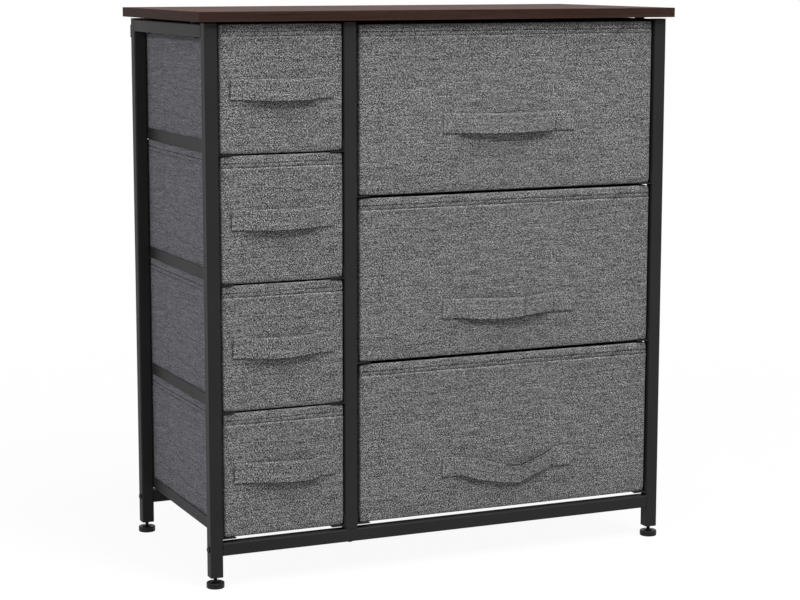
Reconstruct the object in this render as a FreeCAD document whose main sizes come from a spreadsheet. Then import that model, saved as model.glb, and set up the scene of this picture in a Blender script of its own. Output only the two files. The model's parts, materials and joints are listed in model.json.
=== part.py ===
"""Fabric drawer dresser: a welded tube frame with a wooden top board, runners, levelling feet
and seven fabric bins, four small ones in the left column and three large ones in the right.

Millimetres, +X to the right, +Y to the rear, +Z up. The origin is on the floor, under the
middle of the top board. The bins slide out towards -Y.
"""
import FreeCAD, Part
import os
import re
import Sketcher

SIZES = {
    # top board
    "board_width": 800, "board_depth": 394, "board_thick": 15, "board_edge_round": 1,
    "overall_height": 871.5, "side_overhang": 10.5, "end_overhang": 9, "spacer_thick": 3.5,
    "spacer_radius": 8,
    # square steel tube of the frame
    "tube": 20, "tube_wall": 1.2, "tube_round": 2.5, "post_bottom": 17, "beam_bottom": 50,
    "middle_post_x": -158.4,
    # runners, bent from sheet to an L
    "runner_rise": 18, "runner_reach": 22, "runner_thick": 1.2, "runner_front": 186,
    "runner_back": 186.5, "runner_stop_rise": 12, "small_first": 75.4, "small_pitch": 194.6,
    "large_first": 75.7, "large_second": 330.5, "large_third": 588.5,
    # fabric bins
    "bin_depth": 368, "bin_lift": 0.4, "small_left_gap": 3.1, "small_right_gap": 1.5,
    "large_left_gap": 4.9, "large_right_gap": 3, "small_height": 192.1,
    "large_low_height": 250.6, "large_middle_height": 253.8, "large_top_height": 260.2,
    "bin_round": 4, "bin_bottom_round": 3, "skin_thick": 1.2,
    "hem_depth": 17.5, "hem_proud": 0.5, "lip_thick": 1, "lip_depth": 20,
    "stiffener_thick": 3, "bottom_board_thick": 3, "bottom_board_gap": 0.5,
    # fabric strap handles
    "strap_thick": 2.2, "strap_height": 32.5, "strap_bulge": 8.5,
    "small_strap_half": 82.4, "small_left_tab": 20, "small_right_tab": 23,
    "large_strap_half": 115, "large_left_tab": 22, "large_right_tab": 33.5,
    # fasteners
    "thread_radius": 3, "thread_clearance": 0.05, "insert_length": 12, "insert_gap": 0.05,
    "bolt_length": 30, "bolt_head_radius": 4.8, "bolt_head_thick": 2.2, "bolt_socket": 4,
    "bolt_hole_radius": 3.1,
    "wood_screw_radius": 2, "wood_screw_bite": 10, "wood_screw_head_radius": 4,
    "wood_screw_head_thick": 2.4, "wood_screw_spread": 120, "wood_screw_hole_radius": 2.1,
    "cap_thick": 1, "cap_plug_length": 10,
    # flat strap across the back, with two holes for wall anchors
    "back_strap_height": 20, "back_strap_thick": 2, "back_strap_middle": 833,
    "back_screw_radius": 2.4, "back_screw_length": 11, "back_screw_hole_radius": 2.6,
    "anchor_hole_radius": 2.75, "anchor_hole_x": 300,
    # levelling feet
    "foot_radius": 13.8, "foot_pad_thick": 8.8, "foot_pad_round": 1.2,
    "foot_socket_floor": 3, "foot_pivot_clearance": 0.05, "foot_hex": 12, "foot_hex_top": 10.6,
    "stem_radius": 2.95, "stem_top": 42,
}

# Front, rear and side planes of the frame, and the two bays between the posts.
HALF_WIDTH = "(board_width / 2 - side_overhang)"
HALF_DEPTH = "(board_depth / 2 - end_overhang)"
POST_X = f"({HALF_WIDTH} - tube / 2)"
POST_Y = f"({HALF_DEPTH} - tube / 2)"
POST_TOP = "(overall_height - board_thick - spacer_thick)"
RAIL_BOTTOM = f"({POST_TOP} - tube)"
BEAM_TOP = "(beam_bottom + tube)"
BEAM_AXIS_Z = "(beam_bottom + tube / 2)"
SIDE_INNER = f"({HALF_WIDTH} - tube)"
MIDDLE_LEFT = "(middle_post_x - tube / 2)"
MIDDLE_RIGHT = "(middle_post_x + tube / 2)"
TUBE_BORE = "(tube - 2 * tube_wall)"
INSERT_SIDE = f"({TUBE_BORE} - 2 * insert_gap)"

SMALL = {
    "middle_x": f"(({MIDDLE_LEFT} - small_right_gap - {SIDE_INNER} + small_left_gap) / 2)",
    "width": f"({MIDDLE_LEFT} - small_right_gap + {SIDE_INNER} - small_left_gap)",
    "strap_half": "small_strap_half", "left_tab": "small_left_tab",
    "right_tab": "small_right_tab",
}
LARGE = {
    "middle_x": f"(({MIDDLE_RIGHT} + large_left_gap + {SIDE_INNER} - large_right_gap) / 2)",
    "width": f"({SIDE_INNER} - large_right_gap - {MIDDLE_RIGHT} - large_left_gap)",
    "strap_half": "large_strap_half", "left_tab": "large_left_tab",
    "right_tab": "large_right_tab",
}
SMALL_LEVELS = [f"(small_first + {step} * small_pitch)" for step in (3, 2, 1, 0)]
LARGE_LEVELS = ["large_third", "large_second", "large_first"]

# Each bin from the top down: column, level of its runners, height, how far its handle's middle
# is above the bin's bottom, and how the worn strap hangs. A strap's hang is the drop of its
# upper and lower edge at the lowest point, and where that point is from the strap's middle.
EVEN_HANG = {"top_drop": 1.3, "bottom_drop": 2.6, "low_at": 0}
DRAWERS = {
    "small_drawer_1": (SMALL, SMALL_LEVELS[0], "small_height", 95.1, EVEN_HANG),
    "small_drawer_2": (SMALL, SMALL_LEVELS[1], "small_height", 95.4, EVEN_HANG),
    "small_drawer_3": (SMALL, SMALL_LEVELS[2], "small_height", 95.9, EVEN_HANG),
    "small_drawer_4": (SMALL, SMALL_LEVELS[3], "small_height", 97.8, EVEN_HANG),
    "large_drawer_1": (LARGE, LARGE_LEVELS[0], "large_top_height", 105.9, EVEN_HANG),
    "large_drawer_2": (LARGE, LARGE_LEVELS[1], "large_middle_height", 73.6,
                       {"top_drop": 3.8, "bottom_drop": 4.8, "low_at": 8}),
    "large_drawer_3": (LARGE, LARGE_LEVELS[2], "large_low_height", 74.4,
                       {"top_drop": 19, "bottom_drop": 20.5, "low_at": 14}),
}
STRAP_STATIONS = 12

doc = FreeCAD.newDocument("fabric_drawer_dresser")
sheet = doc.addObject("Spreadsheet::Sheet", "Sizes")
for row, (alias, number) in enumerate(SIZES.items(), start=1):
    sheet.set(f"A{row}", alias)
    sheet.set(f"B{row}", str(number))
    sheet.setAlias(f"B{row}", alias)
doc.recompute()

subparts = []


def formula(text):
    """A size written with the sheet's names, as an expression of the document."""
    return re.sub(r"[a-z][a-z_]*", lambda name: f"Sizes.{name.group()}"
                  if name.group() in SIZES else name.group(), str(text))


def size(text):
    """What a size written with the sheet's names comes to, in millimetres."""
    return float(sheet.evalExpression(formula(text)))


def bind(thing, **properties):
    for name, text in properties.items():
        thing.setExpression(name.replace("__", "."), formula(text))


def place(thing, x=0, y=0, z=0):
    """Puts a piece where three sizes of the sheet say."""
    bind(thing, Placement__Base__x=x, Placement__Base__y=y, Placement__Base__z=z)
    return thing


def keep(thing, label):
    """Makes a finished object one of the named sub-parts."""
    thing.Label = label
    subparts.append(thing)
    return thing


def new_body(name):
    return doc.addObject("PartDesign::Body", name)


def sketch_on(body, role, lift=0):
    """An empty sketch on one of the body's own origin planes, lifted along its normal."""
    plane = next(item for item in body.Origin.OriginFeatures if item.Role == role)
    sketch = body.newObject("Sketcher::SketchObject", body.Name + "_sketch")
    sketch.AttachmentSupport = [(plane, "")]
    sketch.MapMode = "FlatFace"
    bind(sketch, AttachmentOffset__Base__z=lift)
    return sketch


def fix_point(sketch, geometry, position, across, along):
    """Binds a point of the sketch to two sizes, measured from the sketch's origin."""
    for kind, text in (("DistanceX", across), ("DistanceY", along)):
        rule = Sketcher.Constraint(kind, -1, 1, geometry, position, size(text))
        sketch.setExpression(f"Constraints[{sketch.addConstraint(rule)}]", formula(text))


def polygon(sketch, corners):
    """A closed outline of straight edges through corners given as pairs of sizes."""
    points = [FreeCAD.Vector(size(across), size(along), 0) for across, along in corners]
    edges = [sketch.addGeometry(Part.LineSegment(point, points[index - len(points) + 1]))
             for index, point in enumerate(points)]
    for index, edge in enumerate(edges):
        follower = edges[index - len(edges) + 1]
        sketch.addConstraint(Sketcher.Constraint("Coincident", edge, 2, follower, 1))
        fix_point(sketch, edge, 1, *corners[index])


def rectangle(sketch, width, depth, across=0, along=0):
    """A rectangle of two sizes about a middle point."""
    left, right = f"{across} - {width} / 2", f"{across} + {width} / 2"
    near, far = f"{along} - {depth} / 2", f"{along} + {depth} / 2"
    polygon(sketch, [(left, near), (right, near), (right, far), (left, far)])


def circle(sketch, radius, across=0, along=0):
    middle = FreeCAD.Vector(size(across), size(along), 0)
    ring = sketch.addGeometry(Part.Circle(middle, FreeCAD.Vector(0, 0, 1), size(radius)))
    rule = Sketcher.Constraint("Radius", ring, size(radius))
    sketch.setExpression(f"Constraints[{sketch.addConstraint(rule)}]", formula(radius))
    fix_point(sketch, ring, 3, across, along)


def pad(body, sketch, length, turned=False):
    feature = body.newObject("PartDesign::Pad", body.Name + "_pad")
    feature.Profile = sketch
    feature.Reversed = turned
    bind(feature, Length=length)
    doc.recompute()
    return feature


def pocket(body, sketch, depth=None, turned=False):
    """Cuts a sketch out of the body to a depth, or right through it both ways."""
    before = body.Shape.Volume
    feature = body.newObject("PartDesign::Pocket", body.Name + "_pocket")
    feature.Profile = sketch
    feature.Reversed = turned
    if depth is None:
        feature.Type = "ThroughAll"
        feature.SideType = "Symmetric"
    else:
        bind(feature, Length=depth)
    doc.recompute()
    if body.Shape.Volume > before - 1e-3:
        raise RuntimeError(f"{feature.Name} cuts nothing")
    return feature


def round_edges(body, radius, wanted):
    """Rounds the edges of the body's last feature that the test picks by both end points."""
    base = body.Tip
    names = [f"Edge{index}" for index, edge in enumerate(base.Shape.Edges, start=1)
             if wanted(edge.Vertexes[0].Point, edge.Vertexes[-1].Point)]
    feature = body.newObject("PartDesign::Fillet", body.Name + "_round")
    feature.Base = (base, names)
    bind(feature, Radius=radius)
    doc.recompute()
    return feature


def upright(one, other):
    """True for an edge along the local Z axis."""
    return (abs(one.x - other.x) < 1e-6 and abs(one.y - other.y) < 1e-6
            and abs(one.z - other.z) > 1e-6)


def box(name, length, width, height, x, y, z):
    """A plain box whose lowest corner is at three sizes of the sheet."""
    block = doc.addObject("Part::Box", name)
    bind(block, Length=length, Width=width, Height=height)
    return place(block, x, y, z)


def group(label, pieces):
    """Separate pieces of one kind that share a node."""
    compound = doc.addObject("Part::Compound", label)
    compound.Links = pieces
    return keep(compound, label)


def turn(thing, axis, degrees):
    thing.Placement.Rotation = FreeCAD.Rotation(FreeCAD.Vector(*axis), degrees)
    return thing


# ---------------------------------------------------------------- frame

def tube(name, role, length):
    """Square tube with rounded corners, along the normal of one of its body's planes."""
    body = new_body(name)
    sketch = sketch_on(body, role)
    rectangle(sketch, "tube", "tube")
    pad(body, sketch, length)
    along = body.Shape.BoundBox
    spans = (along.XLength, along.YLength, along.ZLength)
    axis = spans.index(max(spans))
    round_edges(body, "tube_round", lambda one, other: abs(one[axis] - other[axis]) > 1)
    bore = sketch_on(body, role)
    rectangle(bore, TUBE_BORE, TUBE_BORE)
    pocket(body, bore)
    round_edges(body, "tube_round - tube_wall", lambda one, other: abs(
        one[axis] - other[axis]) > 1 and max(
        abs(part) for index, part in enumerate(one) if index != axis) < size(
        f"{TUBE_BORE} / 2 + 0.01"))
    return body


def drill(body, role, radius, across=0, along=0):
    """A round hole through both walls of a tube."""
    sketch = sketch_on(body, role)
    circle(sketch, radius, across, along)
    pocket(body, sketch)


def corner_post(label, side, end):
    """Post at a corner, drilled for the beam's bolt and at the rear for the flat strap."""
    post = tube(label, "XY_Plane", f"{POST_TOP} - post_bottom")
    drill(post, "YZ_Plane", "bolt_hole_radius", 0, f"{BEAM_AXIS_Z} - post_bottom")
    if end > 0:
        rear_wall_hole(post, "back_strap_middle - post_bottom")
    place(post, f"{side} * {POST_X}", f"{end} * {POST_Y}", "post_bottom")
    return keep(post, label)


def rear_wall_hole(post, height):
    """Hole in the rear wall of a post for a screw of the flat strap."""
    sketch = sketch_on(post, "XZ_Plane")
    circle(sketch, "back_screw_radius + thread_clearance", 0, height)
    pocket(post, sketch, "tube", turned=False)


def middle_post(label, end):
    """Post between the two columns, standing on a bottom beam."""
    post = tube(label, "XY_Plane", f"{POST_TOP} - {BEAM_TOP}")
    if end > 0:
        rear_wall_hole(post, f"back_strap_middle - {BEAM_TOP}")
    place(post, "middle_post_x", f"{end} * {POST_Y}", BEAM_TOP)
    return keep(post, label)


def top_rail(label, x):
    """Rail at the top of a side or middle frame, drilled for the board's screws."""
    rail = tube(label, "XZ_Plane", f"2 * {POST_Y} - tube")
    for end in (-1, 1):
        drill(rail, "XY_Plane", "wood_screw_hole_radius", 0,
              f"{end} * wood_screw_spread - ({POST_Y} - tube / 2)")
    place(rail, x, f"{POST_Y} - tube / 2", f"{RAIL_BOTTOM} + tube / 2")
    return keep(rail, label)


def bottom_beam(label, end):
    """Beam between two corner posts, drilled for the bolt that holds a middle post."""
    beam = tube(label, "YZ_Plane", f"2 * {SIDE_INNER}")
    drill(beam, "XY_Plane", "bolt_hole_radius", f"middle_post_x + {SIDE_INNER}", 0)
    place(beam, f"0 - {SIDE_INNER}", f"{end} * {POST_Y}", BEAM_AXIS_Z)
    return keep(beam, label)


def back_strap():
    """Flat steel strap across the back of the posts, with holes for two wall anchors."""
    label = "rear_top_strap"
    strap = new_body(label)
    sketch = sketch_on(strap, "XZ_Plane")
    rectangle(sketch, f"2 * {HALF_WIDTH}", "back_strap_height")
    pad(strap, sketch, "back_strap_thick", turned=True)
    for x, radius in ((f"0 - {POST_X}", "back_screw_hole_radius"),
                      ("middle_post_x", "back_screw_hole_radius"),
                      (POST_X, "back_screw_hole_radius"),
                      ("0 - anchor_hole_x", "anchor_hole_radius"),
                      ("anchor_hole_x", "anchor_hole_radius")):
        drill(strap, "XZ_Plane", radius, x, 0)
    place(strap, 0, HALF_DEPTH, "back_strap_middle")
    keep(strap, label)


def top_board():
    """Board with softened edges and blind pilot holes under it for its screws."""
    label = "top_board"
    board = new_body(label)
    sketch = sketch_on(board, "XY_Plane")
    rectangle(sketch, "board_width", "board_depth")
    pad(board, sketch, "board_thick")
    round_edges(board, "board_edge_round", lambda one, other: upright(one, other)
                or min(one.z, other.z) > size("board_thick - 0.01"))
    holes = sketch_on(board, "XY_Plane")
    for x in RAIL_MIDDLES:
        for end in (-1, 1):
            circle(holes, "wood_screw_radius + thread_clearance", x,
                   f"{end} * wood_screw_spread")
    pocket(board, holes, "wood_screw_bite", turned=True)
    place(board, 0, 0, "overall_height - board_thick")
    keep(board, label)


# ---------------------------------------------------------------- runners

def runner(name, x, hand, level):
    """L of sheet steel: a web on the posts' inner faces, a flange under the bin's side, and a
    tab bent up at the rear end. The hand is 1 where the flange reaches towards +X."""
    body = new_body(name)
    sketch = sketch_on(body, "XZ_Plane")
    polygon(sketch, [(0, 0), (f"{hand} * runner_reach", 0),
                     (f"{hand} * runner_reach", "runner_thick"),
                     (f"{hand} * runner_thick", "runner_thick"),
                     (f"{hand} * runner_thick", "runner_rise"), (0, "runner_rise")])
    pad(body, sketch, "runner_front + runner_back")
    stop = sketch_on(body, "XZ_Plane")
    polygon(stop, [(0, 0), (f"{hand} * runner_reach", 0),
                   (f"{hand} * runner_reach", "runner_stop_rise"),
                   (0, "runner_stop_rise")])
    pad(body, stop, "runner_thick")
    return place(body, x, "runner_back", level)


def runner_group(label, x, hand, levels):
    group(label, [runner(f"{label}_{index}", x, hand, level)
                  for index, level in enumerate(levels, start=1)])


# ---------------------------------------------------------------- fasteners and plugs

def bolt(name, radius, length, head_radius, head_thick):
    """Screw with a domed head and a hex socket, its shank along +Z from the head's seat."""
    body = new_body(name)
    head = sketch_on(body, "XY_Plane")
    circle(head, head_radius)
    pad(body, head, head_thick, turned=True)
    round_edges(body, f"{head_thick} / 2", lambda one, other: max(one.z, other.z) < -1)
    shank = sketch_on(body, "XY_Plane")
    circle(shank, radius)
    pad(body, shank, length)
    socket = sketch_on(body, "XY_Plane", f"0 - {head_thick}")
    corners = [(f"bolt_socket / sqrt(3) * cos({60 * step} deg)",
                f"bolt_socket / sqrt(3) * sin({60 * step} deg)") for step in range(6)]
    polygon(socket, corners)
    pocket(body, socket, f"{head_thick} * 0.6", turned=True)
    return body


def frame_bolts():
    """Bolts through the corner posts into the beams, and up through the beams."""
    bolts = []
    for end in (-1, 1):
        for side in (-1, 1):
            piece = bolt(f"beam_bolt_{len(bolts)}", "thread_radius - thread_clearance",
                         "bolt_length", "bolt_head_radius", "bolt_head_thick")
            turn(piece, (0, 1, 0), -90 * side)
            bolts.append(place(piece, f"{side} * {HALF_WIDTH}", f"{end} * {POST_Y}",
                               BEAM_AXIS_Z))
        piece = bolt(f"post_bolt_{len(bolts)}", "thread_radius - thread_clearance",
                     "bolt_length", "bolt_head_radius", "bolt_head_thick")
        bolts.append(place(piece, "middle_post_x", f"{end} * {POST_Y}", "beam_bottom"))
    group("frame_bolts", bolts)


def board_screws():
    screws = []
    for x in RAIL_MIDDLES:
        for end in (-1, 1):
            piece = bolt(f"board_screw_{len(screws)}", "wood_screw_radius",
                         "tube + spacer_thick + wood_screw_bite - 0.5",
                         "wood_screw_head_radius", "wood_screw_head_thick")
            screws.append(place(piece, x, f"{end} * wood_screw_spread", RAIL_BOTTOM))
    group("top_board_screws", screws)


def back_strap_screws():
    screws = []
    for x in (f"0 - {POST_X}", "middle_post_x", POST_X):
        piece = bolt(f"back_screw_{len(screws)}", "back_screw_radius", "back_screw_length",
                     "wood_screw_head_radius", "wood_screw_head_thick")
        turn(piece, (1, 0, 0), 90)
        screws.append(place(piece, x, f"{HALF_DEPTH} + back_strap_thick",
                            "back_strap_middle"))
    group("rear_strap_screws", screws)


def board_spacers():
    """Washers that hold the board off the rails."""
    spacers = []
    for x in RAIL_MIDDLES:
        for end in (-1, 1):
            ring = new_body(f"spacer_{len(spacers)}")
            sketch = sketch_on(ring, "XY_Plane")
            circle(sketch, "spacer_radius")
            circle(sketch, "wood_screw_hole_radius")
            pad(ring, sketch, "spacer_thick")
            spacers.append(place(ring, x, f"{end} * wood_screw_spread", POST_TOP))
    group("top_board_spacers", spacers)


def insert(name):
    """Square plug with a thread along its +Z axis, pressed into the end of a tube."""
    body = new_body(name)
    sketch = sketch_on(body, "XY_Plane")
    rectangle(sketch, INSERT_SIDE, INSERT_SIDE)
    circle(sketch, "thread_radius")
    pad(body, sketch, "insert_length")
    round_edges(body, "tube_round - tube_wall", upright)
    return body


def threaded_inserts():
    """Plugs in the feet of all posts and in both ends of the beams."""
    plugs = []
    for end in (-1, 1):
        y = f"{end} * {POST_Y}"
        for side in (-1, 1):
            foot = insert(f"foot_insert_{len(plugs)}")
            plugs.append(place(foot, f"{side} * {POST_X}", y, "post_bottom"))
            beam_end = turn(insert(f"beam_insert_{len(plugs)}"), (0, 1, 0), -90 * side)
            plugs.append(place(beam_end, f"{side} * {SIDE_INNER}", y, BEAM_AXIS_Z))
        plugs.append(place(insert(f"middle_insert_{len(plugs)}"), "middle_post_x", y, BEAM_TOP))
    group("threaded_inserts", plugs)


def post_caps():
    """Plastic caps in the open tops of the posts."""
    caps = []
    for x in RAIL_MIDDLES:
        for end in (-1, 1):
            cap = new_body(f"cap_{len(caps)}")
            head = sketch_on(cap, "XY_Plane")
            rectangle(head, "tube", "tube")
            pad(cap, head, "cap_thick")
            round_edges(cap, "tube_round", upright)
            plug = sketch_on(cap, "XY_Plane")
            rectangle(plug, INSERT_SIDE, INSERT_SIDE)
            pad(cap, plug, "cap_plug_length", turned=True)
            round_edges(cap, "tube_round - tube_wall", lambda one, other: upright(
                one, other) and min(one.z, other.z) < -1)
            caps.append(place(cap, x, f"{end} * {POST_Y}", POST_TOP))
    group("post_top_caps", caps)


# ---------------------------------------------------------------- levelling feet

def foot(corner, side, end):
    """Thick disc that stands on the floor, and the stem that turns in it, with a low hexagon
    for the spanner on the disc."""
    x, y = f"{side} * {POST_X}", f"{end} * {POST_Y}"
    disc = new_body(f"{corner}_foot_pad")
    base = sketch_on(disc, "XY_Plane")
    circle(base, "foot_radius")
    pad(disc, base, "foot_pad_thick")
    round_edges(disc, "foot_pad_round", lambda one, other: abs(one.z - other.z) < 1e-6)
    socket = sketch_on(disc, "XY_Plane", "foot_pad_thick")
    circle(socket, "stem_radius + foot_pivot_clearance")
    pocket(disc, socket, "foot_pad_thick - foot_socket_floor")
    keep(place(disc, x, y, 0), f"{corner}_foot_pad")

    stem = new_body(f"{corner}_foot_stem")
    hexagon = sketch_on(stem, "XY_Plane", "foot_pad_thick")
    polygon(hexagon, [(f"foot_hex / sqrt(3) * cos({60 * step} deg)",
                       f"foot_hex / sqrt(3) * sin({60 * step} deg)") for step in range(6)])
    pad(stem, hexagon, "foot_hex_top - foot_pad_thick")
    pin = sketch_on(stem, "XY_Plane", "foot_socket_floor + foot_pivot_clearance")
    circle(pin, "stem_radius")
    pad(stem, pin, "stem_top - foot_socket_floor - foot_pivot_clearance")
    keep(place(stem, x, y, 0), f"{corner}_foot_stem")


# ---------------------------------------------------------------- fabric bins

def fabric_bin(label, width, height, x, floor):
    """Open fabric box with soft corners, a hem band round its top, and a lip that turns in
    and down, so that the wall boards stand between the skin and the lip."""
    shell = new_body(label)
    outer = sketch_on(shell, "XY_Plane")
    rectangle(outer, width, "bin_depth")
    pad(shell, outer, height)
    round_edges(shell, "bin_round", upright)
    round_edges(shell, "bin_bottom_round", lambda one, other: max(one.z, other.z) < 0.01)

    band = sketch_on(shell, "XY_Plane", f"{height} - hem_depth")
    rectangle(band, f"({width} + 2 * hem_proud)", "(bin_depth + 2 * hem_proud)")
    pad(shell, band, "hem_depth")
    edge = size(f"{width} / 2 + hem_proud") - 0.01
    round_edges(shell, "bin_round", lambda one, other: upright(one, other)
                and abs(one.x) > edge and abs(one.y) > size("bin_depth / 2"))

    def ring(inset_out, inset_in, drop):
        """A frame under the bin's top edge, between two insets from its skin."""
        sketch = sketch_on(shell, "XY_Plane", height)
        for inset in (inset_out, inset_in):
            rectangle(sketch, f"({width} - 2 * ({inset}))", f"(bin_depth - 2 * ({inset}))")
        pad(shell, sketch, drop, turned=True)

    cavity = sketch_on(shell, "XY_Plane", height)
    rectangle(cavity, f"({width} - 2 * skin_thick)", "(bin_depth - 2 * skin_thick)")
    pocket(shell, cavity, f"{height} - skin_thick")
    inner = "skin_thick + stiffener_thick"
    ring("skin_thick", f"{inner} + lip_thick", "skin_thick")
    ring(inner, f"{inner} + lip_thick", "lip_depth")
    keep(place(shell, x, 0, floor), label)


def wall_boards(label, width, height, x, floor):
    """Four boards that stiffen the walls of a bin: front, rear, left and right."""
    bottom, tall = f"{floor} + skin_thick", f"{height} - 2 * skin_thick"
    half_x, half_y = f"({width} / 2 - skin_thick)", "(bin_depth / 2 - skin_thick)"
    thick = "stiffener_thick"
    pieces = [
        box(label + "_front", f"2 * {half_x}", thick, tall, f"{x} - {half_x}",
            f"0 - {half_y}", bottom),
        box(label + "_rear", f"2 * {half_x}", thick, tall, f"{x} - {half_x}",
            f"{half_y} - {thick}", bottom),
        box(label + "_left", thick, f"2 * ({half_y} - {thick})", tall, f"{x} - {half_x}",
            f"{thick} - {half_y}", bottom),
        box(label + "_right", thick, f"2 * ({half_y} - {thick})", tall,
            f"{x} + {half_x} - {thick}", f"{thick} - {half_y}", bottom),
    ]
    group(label, pieces)


def bottom_board(label, width, x, floor):
    """Loose board on the fabric floor, small enough to drop in past the lip."""
    inset = "(skin_thick + stiffener_thick + lip_thick + bottom_board_gap)"
    half_x, half_y = f"({width} / 2 - {inset})", f"(bin_depth / 2 - {inset})"
    board = box(label, f"2 * {half_x}", f"2 * {half_y}", "bottom_board_thick",
                f"{x} - {half_x}", f"0 - {half_y}", f"{floor} + skin_thick")
    keep(board, label)


def handle_strap(label, column, middle_z, hang):
    """Fabric strap sewn flat to the front at both ends, standing off and sagging between.
    Its length is cut into stations, and each stretch between two of them is straight."""
    half, front, thick = (size(text) for text in (column["strap_half"], "bin_depth / 2",
                                                  "strap_thick"))
    left_seam = size(column["left_tab"]) - half
    right_seam = half - size(column["right_tab"])
    span = right_seam - left_seam
    reach = size("strap_bulge")

    def section(x, bulge, top_drop, bottom_drop):
        inner, outer = -front - bulge, -front - bulge - thick
        top = size("strap_height / 2") - top_drop
        bottom = -size("strap_height / 2") - bottom_drop
        corners = [(x, inner, bottom), (x, outer, bottom), (x, outer, top), (x, inner, top)]
        return Part.makePolygon([FreeCAD.Vector(*corner) for corner in corners + corners[:1]])

    def fall(x):
        """0 at a seam, 1 at the strap's lowest point."""
        reach_from_low = (x - hang["low_at"]) / (
            (right_seam if x > hang["low_at"] else left_seam) - hang["low_at"])
        return 1 - abs(reach_from_low) ** 1.5

    sections = [section(-half, 0, 0, 0)]
    for step in range(STRAP_STATIONS + 1):
        x = left_seam + span * step / STRAP_STATIONS
        across = 2 * step / STRAP_STATIONS - 1
        sections.append(section(x, reach * (1 - across ** 2), hang["top_drop"] * fall(x),
                                hang["bottom_drop"] * fall(x)))
    sections.append(section(half, 0, 0, 0))
    strap = doc.addObject("Part::Feature", label)
    strap.Shape = Part.makeLoft(sections, True, True)
    strap.Placement.Base = FreeCAD.Vector(size(column["middle_x"]), 0, size(middle_z))
    keep(strap, label)


def drawer(name, column, level, height, strap_up, hang):
    floor = f"({level} + runner_thick + bin_lift)"
    width, x = column["width"], column["middle_x"]
    fabric_bin(name + "_bin", width, height, x, floor)
    wall_boards(name + "_wall_boards", width, height, x, floor)
    bottom_board(name + "_bottom_board", width, x, floor)
    handle_strap(name + "_handle_strap", column, f"{floor} + {strap_up}", hang)


# ---------------------------------------------------------------- the whole dresser

RAIL_MIDDLES = [f"0 - {POST_X}", "middle_post_x", POST_X]

for end_name, end in (("front", -1), ("rear", 1)):
    corner_post(f"{end_name}_left_post", -1, end)
    corner_post(f"{end_name}_right_post", 1, end)
    middle_post(f"{end_name}_middle_post", end)
    bottom_beam(f"{end_name}_bottom_beam", end)
    foot(f"{end_name}_left", -1, end)
    foot(f"{end_name}_right", 1, end)
for rail_name, rail_x in zip(("left", "middle", "right"), RAIL_MIDDLES):
    top_rail(f"{rail_name}_top_rail", rail_x)
back_strap()
top_board()
runner_group("left_frame_runners", f"0 - {SIDE_INNER}", 1, SMALL_LEVELS)
runner_group("middle_frame_left_runners", MIDDLE_LEFT, -1, SMALL_LEVELS)
runner_group("middle_frame_right_runners", MIDDLE_RIGHT, 1, LARGE_LEVELS)
runner_group("right_frame_runners", SIDE_INNER, -1, LARGE_LEVELS)
frame_bolts()
board_screws()
back_strap_screws()
board_spacers()
threaded_inserts()
post_caps()
for drawer_name, values in DRAWERS.items():
    drawer(drawer_name, *values)

doc.recompute()
for item in doc.Objects:
    if any(word in ("Invalid", "Error") for word in item.State):
        raise RuntimeError(f"{item.Name} failed: {item.State}")
for item in subparts:
    if item.Shape.isNull() or not item.Shape.isValid():
        raise RuntimeError(f"{item.Label} has no valid shape")

os.makedirs("parts", exist_ok=True)
for item in subparts:
    item.Shape.exportStep(f"parts/{item.Label}.step")
print(len(subparts), "sub-parts")
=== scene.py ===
"""Looks of the fabric drawer dresser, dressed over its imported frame.

Metres, +X to the right, +Y to the rear, +Z up, with the origin on the floor under the middle of
the top board.
"""
import json
import math
import bmesh
import bpy
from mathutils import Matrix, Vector, noise


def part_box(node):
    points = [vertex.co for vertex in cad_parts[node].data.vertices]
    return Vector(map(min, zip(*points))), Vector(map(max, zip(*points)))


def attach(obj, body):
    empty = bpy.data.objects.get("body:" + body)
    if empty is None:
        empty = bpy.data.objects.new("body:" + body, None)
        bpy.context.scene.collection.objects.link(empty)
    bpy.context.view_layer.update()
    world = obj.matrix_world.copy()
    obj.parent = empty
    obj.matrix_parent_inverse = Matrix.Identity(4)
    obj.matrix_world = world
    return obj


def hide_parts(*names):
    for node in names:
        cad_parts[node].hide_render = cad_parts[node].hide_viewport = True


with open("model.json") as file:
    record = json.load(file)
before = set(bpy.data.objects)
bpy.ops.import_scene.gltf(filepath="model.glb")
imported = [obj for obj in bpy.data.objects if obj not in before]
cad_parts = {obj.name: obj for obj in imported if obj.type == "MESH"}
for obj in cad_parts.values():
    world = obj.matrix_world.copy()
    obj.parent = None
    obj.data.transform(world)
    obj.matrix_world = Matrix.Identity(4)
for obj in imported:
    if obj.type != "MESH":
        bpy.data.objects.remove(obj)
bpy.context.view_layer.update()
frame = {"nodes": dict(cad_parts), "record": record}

MM = 0.001
SMALL_DRAWERS = [f"small_drawer_{number}" for number in (1, 2, 3, 4)]
LARGE_DRAWERS = [f"large_drawer_{number}" for number in (1, 2, 3)]
DRAWERS = SMALL_DRAWERS + LARGE_DRAWERS
CORNERS = ("front_left", "front_right", "rear_left", "rear_right")


# ---------------------------------------------------------------- shader nodes

def srgb(red, green, blue):
    """A colour written in 0 to 255, as the linear colour that a socket holds."""
    def linear(value):
        value /= 255
        return value / 12.92 if value <= 0.04045 else ((value + 0.055) / 1.055) ** 2.4
    return linear(red), linear(green), linear(blue), 1.0


def add(tree, kind, inputs=None, **settings):
    """A node with its settings and inputs, which are numbers, colours or other nodes' sockets."""
    node = tree.nodes.new(kind)
    for name, value in settings.items():
        setattr(node, name, value)
    for key, value in (inputs or {}).items():
        if isinstance(value, bpy.types.NodeSocket):
            tree.links.new(value, node.inputs[key])
        else:
            node.inputs[key].default_value = value
    return node


def calc(tree, operation, *values):
    return add(tree, "ShaderNodeMath", dict(enumerate(values)), operation=operation).outputs[0]


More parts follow.
